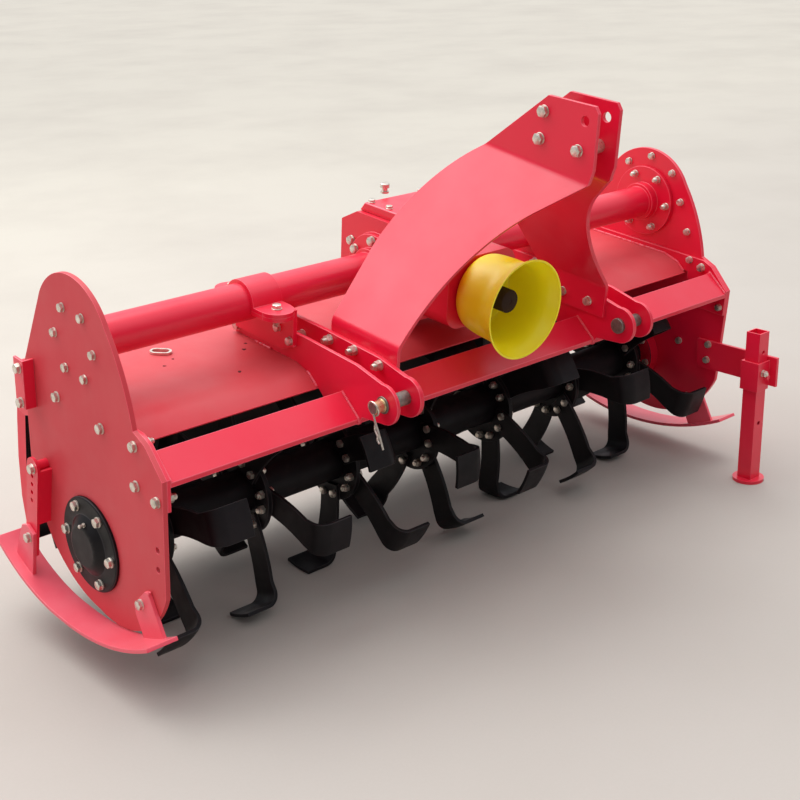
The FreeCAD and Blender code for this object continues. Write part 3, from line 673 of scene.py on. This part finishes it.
# hitch pins: the left one's free end with its ring and hanging clip
clipLook = {"wire": 2.0, "ring": (-398.0, -316.0, 528.0), "ringR": 13.7, "ringLean": 2.5, "pinY": -316.0,
            "pinZ": 529.0,
            "straight": [(-401, -319, 519), (-402, -329, 501), (-402, -339, 483), (-402, -351, 458)],
            "wavy": [(-399, -319, 517), (-400, -323, 505), (-400, -324, 489), (-401, -333, 479),
                     (-402, -334, 472), (-402, -340, 466)],
            "sleeveX": 377, "sleeve": [(0, 13), (2, 13.4), (3, 12.8), (3.2, 11.6), (23, 11.4), (24.2, 10.2)],
            "spacerX": 316.6, "spacer": [(0, 12.6), (0.5, 14), (49, 14), (49.8, 12.6)]}


def addClip():
    look = clipLook
    bm = bmesh.new()
    middle = Vector(look["ring"]) * mm
    r = look["ringR"]
    ring = []
    for k in range(33):
        a = 2 * math.pi * k / 32
        lean = -look["ringLean"] * math.sin(a)
        ring.append(middle + Vector((lean, r * math.cos(a), r * math.sin(a))) * mm)
    addTube(bm, ring, look["wire"] * mm, 8)
    for key in ("straight", "wavy"):
        line = smoothLine([Vector(p) * mm for p in look[key]], 5)
        addTube(bm, [Vector(p) for p in line], look["wire"] * mm, 8)
    addPiece("hitchClip", bm, zincPlate, "frame", sharp=60)
    for name, key, metal in (("pinSleeves", "sleeve", yellowZinc), ("pinSpacers", "spacer", bareSteel)):
        bm = bmesh.new()
        for s in (-1, 1):
            place = facing(s * look[key + "X"], look["pinY"], look["pinZ"], "-X" if s < 0 else "+X")
            addLathe(bm, place, look[key], 32)
        addPiece(name, bm, metal, "frame")


addClip()

# grease nipple on the bearing cover, plugs and breather on the gearbox, oblong eye lying on the deck
smallLook = {"nipples": [((-835, -5, 294), "-X"), ((848, 0, 300), "+X")],
             "nipple": [(0, 4.5), (3, 4.5), (3, 3), (8, 3), (9, 4), (11, 4), (12.5, 2.4)],
             "breatherSpot": (0, 118, 770),
             "breather": [(0, 9), (4, 9), (4, 6), (12, 6), (12, 10), (20, 10), (22, 8)],
             "plugs": [((0, 147, 625), "+Y", 8), ((-50, 147, 585), "+Y", 8), ((887, 30, 450), "+X", 5)],
             "plugAcross": 22, "deckZ": 527, "eye": (-564, 140), "eyeSize": (9, 13), "eyeWall": 4.8,
             "eyeTurn": -0.72, "eyeHeights": (0.4, 5.2), "holeShadeZ": 526.8, "holeShadeT": 0.45,
             # dark discs on the deck, painted shade of small holes: x, y and radius
             "holeShades": [(-420, 57, 4.5), (-399, 81, 3), (-493, -28, 3.9), (-561.7, 100, 2.4), (-595, 81, 3)]}


def addSmallParts():
    look = smallLook
    bm = bmesh.new()
    for spot, way in look["nipples"]:
        addLathe(bm, facing(*spot, way), look["nipple"], 16)
    addLathe(bm, facing(*look["breatherSpot"], "+Z"), look["breather"], 20)
    for spot, way, high in look["plugs"]:
        addHex(bm, facing(*spot, way), look["plugAcross"], high)
    addPiece("nipplesAndPlugs", bm, zincPlate, "frame")
    bm = bmesh.new()
    rings = []
    long, half = look["eyeSize"]
    wall = look["eyeWall"]
    low, high = look["eyeHeights"]
    x, y = look["eye"]
    c, s = math.cos(look["eyeTurn"]), math.sin(look["eyeTurn"])
    for grow in (0.0, wall):
        for h in (low, high) if grow else (high, low):
            ring = []
            for k in range(32):
                a = 2 * math.pi * k / 32
                push = long * (1 if math.cos(a) > 0 else -1)
                u = push + (half - wall + grow) * math.cos(a)
                v = (half - wall + grow) * math.sin(a)
                ring.append(Vector((x + u * c - v * s, y + u * s + v * c, look["deckZ"] + h)) * mm)
            rings.append(ring)
    rings = [rings[1], rings[0], rings[3], rings[2]]
    addRings(bm, rings + rings[:1], True, (False, False))
    bmesh.ops.remove_doubles(bm, verts=bm.verts, dist=0.00001)
    addPiece("deckEye", bm, zincPlate, "frame")
    # dark discs lying on the deck, painted shade of small holes
    bm = bmesh.new()
    shake = random.Random(3)
    for x, y, r in look["holeShades"]:
        spots = [(r * shake.uniform(0.5, 1.3) * math.cos(a), r * shake.uniform(0.6, 1.6) * math.sin(a))
                 for a in (2 * math.pi * k / 9 for k in range(9))]
        addPlate(bm, facing(x, y, look["holeShadeZ"], "+Z", shake.uniform(0, 3)), spots, look["holeShadeT"])
    addPiece("deckHoleShades", bm, holeShade, "frame")


addSmallParts()
print("clip, nipples and plugs made")

# gear case: flange bolts round the pear outline and small cover bolts
caseLook = {"flangeX": 829, "flangeR": (106, 120), "flangeStep": 66, "coverX": 887, "coverR": (65, 87),
            "coverStep": 74}


def pearSpots(rTop, rLow, step):
    # evenly spaced places on the outline round the tube axis above and the rotor axis below
    ty, tz = tubeAxis
    span = math.hypot(ty, tz - rotorZ)
    lean = math.atan2(tz - rotorZ, ty)
    side = math.asin((rLow - rTop) / span)
    line = []
    for k in range(25):
        a = lean - math.pi / 2 + side + (math.pi - 2 * side) * k / 24
        line.append((ty + rTop * math.cos(a), tz + rTop * math.sin(a)))
    for k in range(25):
        a = lean + math.pi / 2 - side + (math.pi + 2 * side) * k / 24
        line.append((rLow * math.cos(a), rotorZ + rLow * math.sin(a)))
    line.append(line[0])
    total = sum(math.dist(a, b) for a, b in zip(line, line[1:]))
    count = round(total / step)
    spots = []
    walked = 0.0
    for a, b in zip(line, line[1:]):
        long = math.dist(a, b)
        while len(spots) < count and len(spots) * total / count <= walked + long:
            t = (len(spots) * total / count - walked) / long
            spots.append((a[0] + (b[0] - a[0]) * t, a[1] + (b[1] - a[1]) * t))
        walked += long
    return spots


addFixings("boltsGearCase", [
    ("bolt", "M12", "+X", caseLook["flangeX"], pearSpots(*caseLook["flangeR"], caseLook["flangeStep"])),
    ("bolt", "M6", "+X", caseLook["coverX"], pearSpots(*caseLook["coverR"], caseLook["coverStep"]))])
print("gear case bolts made")

# parking stand: clamp screw head over the sleeve
standLook = {"screw": (773.0, -408.0, 285.0)}


def addStandScrew():
    look = standLook
    bm = bmesh.new()
    addNut(bm, facing(*look["screw"], "-Y"), "M10", 3)
    addPiece("standScrew", bm, zincPlate, "frame", upright)


addStandScrew()

# camera: solved from the photograph; it looks down past the left front corner
cameraLook = {"offset": (-1.93198, -2.149594, 1.39442), "heading": 41.508, "down": 20.427, "roll": -1.48,
              "lens": 61.73, "sensor": 36.0}
cameraData = bpy.data.cameras.new("viewCamera")
cameraData.lens = cameraLook["lens"]
cameraData.sensor_width = cameraLook["sensor"]
cameraData.clip_end = 60
viewCamera = bpy.data.objects.new("viewCamera", cameraData)
bpy.context.scene.collection.objects.link(viewCamera)
viewCamera.matrix_world = (upright @ Matrix.Translation(cameraLook["offset"])
                           @ Matrix.Rotation(math.radians(-cameraLook["heading"]), 4, "Z")
                           @ Matrix.Rotation(math.radians(90 - cameraLook["down"]), 4, "X")
                           @ Matrix.Rotation(math.radians(cameraLook["roll"]), 4, "Z"))
bpy.context.scene.camera = viewCamera

# floor, sky and lamps; the sky is darker low in front, which leaves the leg and hitch in shade
stageLook = {"floorNear": (0.46, 0.415, 0.375, 1), "floorFar": (0.58, 0.535, 0.46, 1),
             "patch": (0.41, 0.365, 0.32, 1),
             "floorSize": 30, "skyLow": (0.34, 0.355, 0.38, 1), "skyHigh": (1.24, 1.28, 1.34, 1), "sky": 1.0,
             "skyFront": (0.06, 0.065, 0.07, 1), "frontWay": (-0.45, -0.89, 0), "sun": 1.3, "sunSize": 50,
             "sunTurn": (14, 0, 160), "boxSize": (4.5, 2.6), "boxPower": 100, "boxWay": (-0.30, 0.62, 0.72),
             "boxFar": 4.6}


def addStage():
    look = stageLook
    mat, tree, bsdf, spot = startMaterial("floorFinish", Roughness=0.8, Specular_IOR_Level=0.2)
    along = addNode(tree, "ShaderNodeSeparateXYZ", {"Vector": spot}).outputs["Y"]
    colour = mixColour(tree, spread(tree, along, -0.5, 4.0), look["floorNear"], look["floorFar"])
    patches = spread(tree, noise(tree, spot, 1.1, 9, 0.62), 0.42, 0.72, 0, 0.35)
    colour = mixColour(tree, patches, colour, look["patch"])
    grit = spread(tree, noise(tree, spot, 160, 4, 0.6), 0.35, 0.75, 0, 0.16)
    tree.links.new(mixColour(tree, grit, colour, look["patch"]), bsdf.inputs["Base Color"])
    roughen(tree, bsdf, [(noise(tree, spot, 90, 5), 0.08, 0.001)])
    half = look["floorSize"]
    mesh = bpy.data.meshes.new("floor")
    corners = [(-half, -half, 0), (half, -half, 0), (half, half, 0), (-half, half, 0)]
    mesh.from_pydata(corners, [], [(0, 1, 2, 3)])
    mesh.materials.append(mat)
    floor = bpy.data.objects.new("floor", mesh)
    bpy.context.scene.collection.objects.link(floor)
    world = bpy.data.worlds.new("sky")
    bpy.context.scene.world = world
    world.use_nodes = True
    tree = world.node_tree
    way = addNode(tree, "ShaderNodeTexCoord").outputs["Generated"]
    height = addNode(tree, "ShaderNodeSeparateXYZ", {"Vector": way}).outputs["Z"]
    sky = mixColour(tree, spread(tree, height, 0.0, 0.75), look["skyLow"], look["skyHigh"])
    front = addNode(tree, "ShaderNodeVectorMath", {0: way, 1: look["frontWay"]}, operation="DOT_PRODUCT")
    low = times(tree, spread(tree, front.outputs["Value"], 0.1, 0.7), spread(tree, height, 0.8, 0.2))
    sky = mixColour(tree, low, sky, look["skyFront"])
    tree.links.new(sky, tree.nodes["Background"].inputs["Color"])
    tree.nodes["Background"].inputs["Strength"].default_value = look["sky"]
    sunData = bpy.data.lights.new("softSun", "SUN")
    sunData.energy = look["sun"]
    sunData.angle = math.radians(look["sunSize"])
    sun = bpy.data.objects.new("softSun", sunData)
    sun.rotation_euler = [math.radians(a) for a in look["sunTurn"]]
    bpy.context.scene.collection.objects.link(sun)
    boxData = bpy.data.lights.new("softBox", "AREA")
    boxData.shape = "RECTANGLE"
    boxData.size, boxData.size_y = look["boxSize"]
    boxData.energy = look["boxPower"]
    box = bpy.data.objects.new("softBox", boxData)
    way = Vector(look["boxWay"]).normalized()
    box.matrix_world = (Matrix.Translation(way * look["boxFar"] + Vector((0, 0, 0.6)))
                        @ way.to_track_quat("Z", "Y").to_matrix().to_4x4())
    box.visible_camera = False
    bpy.context.scene.collection.objects.link(box)


addStage()
bpy.context.scene.view_settings.view_transform = "Standard"
print("stage set")
